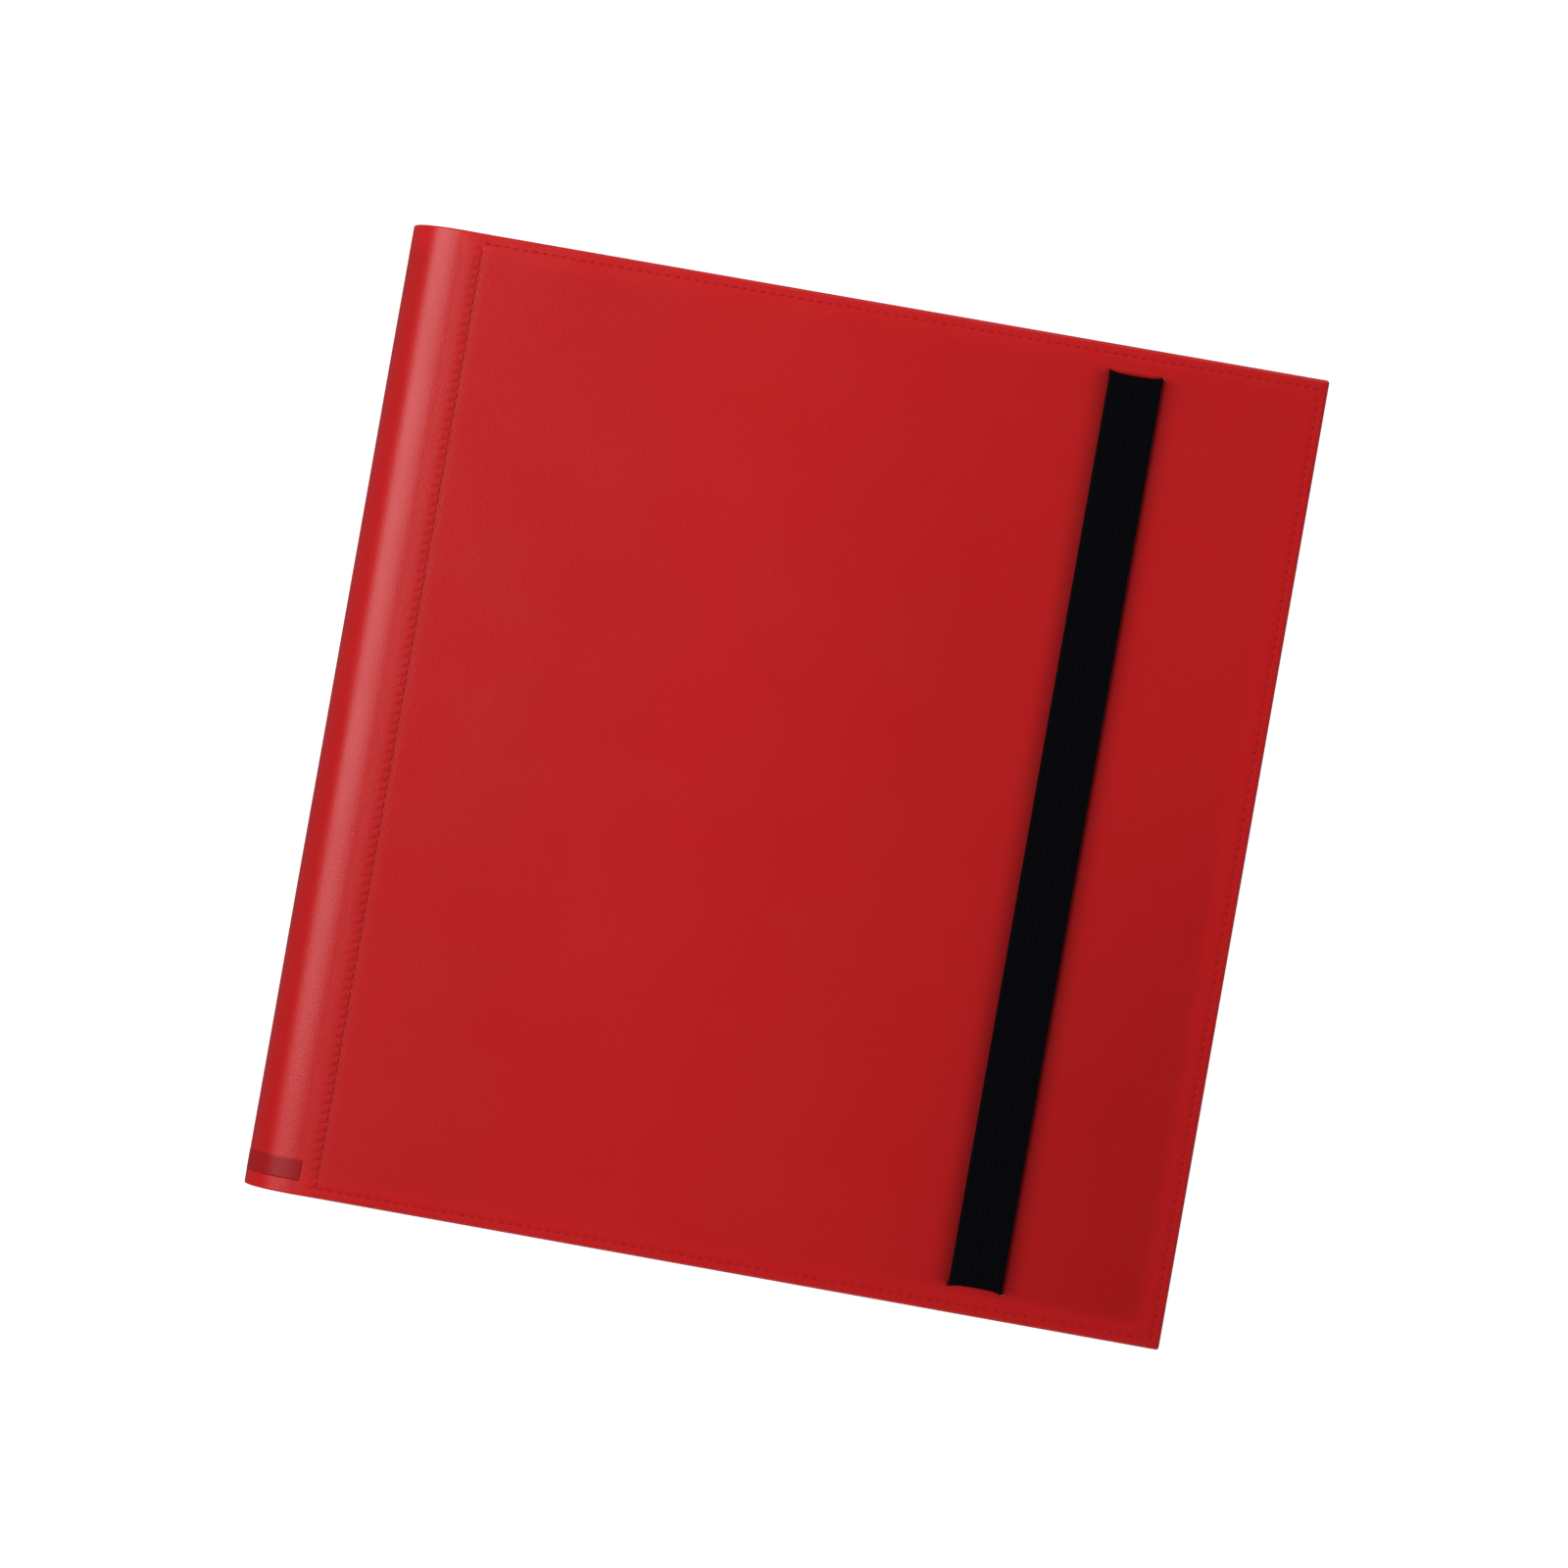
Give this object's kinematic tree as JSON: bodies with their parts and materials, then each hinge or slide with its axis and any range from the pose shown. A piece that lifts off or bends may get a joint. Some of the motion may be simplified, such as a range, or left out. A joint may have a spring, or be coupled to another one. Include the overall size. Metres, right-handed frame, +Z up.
{
  "type": "trading card binder",
  "caption": "Closed side-loading pocket album with stitched leatherette covers, a round soft spine, clear pocket leaves and an elastic strap on the front cover.",
  "frame": {"origin": "centre of the closed album's footprint, on the face that it lies on", "axes": "+Z up through the album's thickness, from the back cover to the front cover; +X from the spine to the fore-edge; +Y from the tail to the head"},
  "size_m": [0.3, 0.315, 0.0362],
  "materials": {
    "leatherette": "fine-grained satin leatherette, red",
    "board": "grey-brown paperboard",
    "lining": "matt black lining",
    "binding": "black padded tape",
    "page_sheet": "black embossed polypropylene sheet",
    "pocket_film": "clear polypropylene film",
    "elastic": "woven black elastic",
    "label": "plain dark red label"
  },
  "bodies": {
    "back_cover": {"back_skin": "leatherette", "back_board": "board", "back_lining": "lining"},
    "spine_1": {"spine_wall_1": "leatherette"},
    "spine_2": {"spine_wall_2": "leatherette"},
    "spine_3": {"spine_wall_3": "leatherette", "binding_strip": "binding", "page_tabs": "page_sheet", "spine_lining": "lining"},
    "spine_4": {"spine_wall_4": "leatherette"},
    "spine_5": {"spine_wall_5": "leatherette", "spine_label": "label"},
    "front_cover": {"front_skin": "leatherette", "front_board": "board", "front_lining": "lining", "strap_ends": "elastic"},
    "strap": {"strap_band": "elastic"},
    "page_01": {"page_sheet_01": "page_sheet", "page_pockets_01": "pocket_film"},
    "page_02": {"page_sheet_02": "page_sheet", "page_pockets_02": "pocket_film"},
    "page_03": {"page_sheet_03": "page_sheet", "page_pockets_03": "pocket_film"},
    "page_04": {"page_sheet_04": "page_sheet", "page_pockets_04": "pocket_film"},
    "page_05": {"page_sheet_05": "page_sheet", "page_pockets_05": "pocket_film"},
    "page_06": {"page_sheet_06": "page_sheet", "page_pockets_06": "pocket_film"},
    "page_07": {"page_sheet_07": "page_sheet", "page_pockets_07": "pocket_film"},
    "page_08": {"page_sheet_08": "page_sheet", "page_pockets_08": "pocket_film"},
    "page_09": {"page_sheet_09": "page_sheet", "page_pockets_09": "pocket_film"},
    "page_10": {"page_sheet_10": "page_sheet", "page_pockets_10": "pocket_film"},
    "page_11": {"page_sheet_11": "page_sheet", "page_pockets_11": "pocket_film"},
    "page_12": {"page_sheet_12": "page_sheet", "page_pockets_12": "pocket_film"},
    "page_13": {"page_sheet_13": "page_sheet", "page_pockets_13": "pocket_film"},
    "page_14": {"page_sheet_14": "page_sheet", "page_pockets_14": "pocket_film"},
    "page_15": {"page_sheet_15": "page_sheet", "page_pockets_15": "pocket_film"},
    "page_16": {"page_sheet_16": "page_sheet", "page_pockets_16": "pocket_film"},
    "page_17": {"page_sheet_17": "page_sheet", "page_pockets_17": "pocket_film"},
    "page_18": {"page_sheet_18": "page_sheet", "page_pockets_18": "pocket_film"},
    "page_19": {"page_sheet_19": "page_sheet", "page_pockets_19": "pocket_film"},
    "page_20": {"page_sheet_20": "page_sheet", "page_pockets_20": "pocket_film"}
  },
  "joints": [
    {"name": "album_opening", "type": "hinge", "parent": "back_cover", "child": "spine_2", "pos_m": [-0.13977, 0, 0.00115], "axis": [0, -1, 0], "range_deg": [0, 54], "deforming": ["spine_lining", "page_tabs", "spine_label"]},
    {"name": "spine_bend_lower", "type": "hinge", "parent": "spine_2", "child": "spine_3", "pos_m": [-0.14914, 0, 0.01209], "axis": [0, -1, 0], "range_deg": [0, 36]},
    {"name": "spine_bend_upper", "type": "hinge", "parent": "spine_3", "child": "spine_4", "pos_m": [-0.14914, 0, 0.02291], "axis": [0, -1, 0], "range_deg": [0, 36]},
    {"name": "front_cover_bend", "type": "hinge", "parent": "spine_4", "child": "front_cover", "pos_m": [-0.13977, 0, 0.03385], "axis": [0, -1, 0], "range_deg": [0, 54]},
    {"name": "spine_edge_back", "type": "hinge", "parent": "back_cover", "child": "spine_1", "pos_m": [-0.1325, 0, 0], "axis": [0, -1, 0], "range_deg": [0, 18]},
    {"name": "spine_edge_front", "type": "hinge", "parent": "front_cover", "child": "spine_5", "pos_m": [-0.1325, 0, 0.035], "axis": [0, -1, 0], "range_deg": [-18, 0]},
    {"name": "page_turn_01", "type": "hinge", "parent": "spine_3", "child": "page_01", "pos_m": [-0.1415, 0, 0.008], "axis": [0, -1, 0], "range_deg": [-90, 0]},
    {"name": "page_turn_02", "type": "hinge", "parent": "spine_3", "child": "page_02", "pos_m": [-0.1415, 0, 0.009], "axis": [0, -1, 0], "range_deg": [-87.4, 0]},
    {"name": "page_turn_03", "type": "hinge", "parent": "spine_3", "child": "page_03", "pos_m": [-0.1415, 0, 0.01], "axis": [0, -1, 0], "range_deg": [-85.1, 0]},
    {"name": "page_turn_04", "type": "hinge", "parent": "spine_3", "child": "page_04", "pos_m": [-0.1415, 0, 0.011], "axis": [0, -1, 0], "range_deg": [-83, 0]},
    {"name": "page_turn_05", "type": "hinge", "parent": "spine_3", "child": "page_05", "pos_m": [-0.1415, 0, 0.012], "axis": [0, -1, 0], "range_deg": [-81.1, 0]},
    {"name": "page_turn_06", "type": "hinge", "parent": "spine_3", "child": "page_06", "pos_m": [-0.1415, 0, 0.013], "axis": [0, -1, 0], "range_deg": [-79.4, 0]},
    {"name": "page_turn_07", "type": "hinge", "parent": "spine_3", "child": "page_07", "pos_m": [-0.1415, 0, 0.014], "axis": [0, -1, 0], "range_deg": [-77.8, 0]},
    {"name": "page_turn_08", "type": "hinge", "parent": "spine_3", "child": "page_08", "pos_m": [-0.1415, 0, 0.015], "axis": [0, -1, 0], "range_deg": [-76.3, 0]},
    {"name": "page_turn_09", "type": "hinge", "parent": "spine_3", "child": "page_09", "pos_m": [-0.1415, 0, 0.016], "axis": [0, -1, 0], "range_deg": [-75, 0]},
    {"name": "page_turn_10", "type": "hinge", "parent": "spine_3", "child": "page_10", "pos_m": [-0.1415, 0, 0.017], "axis": [0, -1, 0], "range_deg": [-73.8, 0]},
    {"name": "page_turn_11", "type": "hinge", "parent": "spine_3", "child": "page_11", "pos_m": [-0.1415, 0, 0.018], "axis": [0, -1, 0], "range_deg": [0, 73.8]},
    {"name": "page_turn_12", "type": "hinge", "parent": "spine_3", "child": "page_12", "pos_m": [-0.1415, 0, 0.019], "axis": [0, -1, 0], "range_deg": [0, 75]},
    {"name": "page_turn_13", "type": "hinge", "parent": "spine_3", "child": "page_13", "pos_m": [-0.1415, 0, 0.02], "axis": [0, -1, 0], "range_deg": [0, 76.3]},
    {"name": "page_turn_14", "type": "hinge", "parent": "spine_3", "child": "page_14", "pos_m": [-0.1415, 0, 0.021], "axis": [0, -1, 0], "range_deg": [0, 77.8]},
    {"name": "page_turn_15", "type": "hinge", "parent": "spine_3", "child": "page_15", "pos_m": [-0.1415, 0, 0.022], "axis": [0, -1, 0], "range_deg": [0, 79.4]},
    {"name": "page_turn_16", "type": "hinge", "parent": "spine_3", "child": "page_16", "pos_m": [-0.1415, 0, 0.023], "axis": [0, -1, 0], "range_deg": [0, 81.1]},
    {"name": "page_turn_17", "type": "hinge", "parent": "spine_3", "child": "page_17", "pos_m": [-0.1415, 0, 0.024], "axis": [0, -1, 0], "range_deg": [0, 83]},
    {"name": "page_turn_18", "type": "hinge", "parent": "spine_3", "child": "page_18", "pos_m": [-0.1415, 0, 0.025], "axis": [0, -1, 0], "range_deg": [0, 85.1]},
    {"name": "page_turn_19", "type": "hinge", "parent": "spine_3", "child": "page_19", "pos_m": [-0.1415, 0, 0.026], "axis": [0, -1, 0], "range_deg": [0, 87.4]},
    {"name": "page_turn_20", "type": "hinge", "parent": "spine_3", "child": "page_20", "pos_m": [-0.1415, 0, 0.027], "axis": [0, -1, 0], "range_deg": [0, 90]},
    {"name": "strap_lift", "type": "slide", "parent": "front_cover", "child": "strap", "axis": [0, 0, 1], "range_m": [0, 0.035], "stiffness_N_per_m": 60}
  ],
  "couplings": [
    {"joint": "spine_bend_lower", "follows": "album_opening", "ratio": 0.66667},
    {"joint": "spine_bend_upper", "follows": "album_opening", "ratio": 0.66667},
    {"joint": "front_cover_bend", "follows": "album_opening", "ratio": 1},
    {"joint": "spine_edge_back", "follows": "album_opening", "ratio": 0.33333},
    {"joint": "spine_edge_front", "follows": "album_opening", "ratio": -0.33333},
    {"joint": "page_turn_01", "follows": "album_opening", "ratio": -1.6667},
    {"joint": "page_turn_02", "follows": "album_opening", "ratio": -1.6185},
    {"joint": "page_turn_03", "follows": "album_opening", "ratio": -1.5759},
    {"joint": "page_turn_04", "follows": "album_opening", "ratio": -1.537},
    {"joint": "page_turn_05", "follows": "album_opening", "ratio": -1.5019},
    {"joint": "page_turn_06", "follows": "album_opening", "ratio": -1.4704},
    {"joint": "page_turn_07", "follows": "album_opening", "ratio": -1.4407},
    {"joint": "page_turn_08", "follows": "album_opening", "ratio": -1.413},
    {"joint": "page_turn_09", "follows": "album_opening", "ratio": -1.3889},
    {"joint": "page_turn_10", "follows": "album_opening", "ratio": -1.3667},
    {"joint": "page_turn_11", "follows": "album_opening", "ratio": 1.3667},
    {"joint": "page_turn_12", "follows": "album_opening", "ratio": 1.3889},
    {"joint": "page_turn_13", "follows": "album_opening", "ratio": 1.413},
    {"joint": "page_turn_14", "follows": "album_opening", "ratio": 1.4407},
    {"joint": "page_turn_15", "follows": "album_opening", "ratio": 1.4704},
    {"joint": "page_turn_16", "follows": "album_opening", "ratio": 1.5019},
    {"joint": "page_turn_17", "follows": "album_opening", "ratio": 1.537},
    {"joint": "page_turn_18", "follows": "album_opening", "ratio": 1.5759},
    {"joint": "page_turn_19", "follows": "album_opening", "ratio": 1.6185},
    {"joint": "page_turn_20", "follows": "album_opening", "ratio": 1.6667}
  ]
}
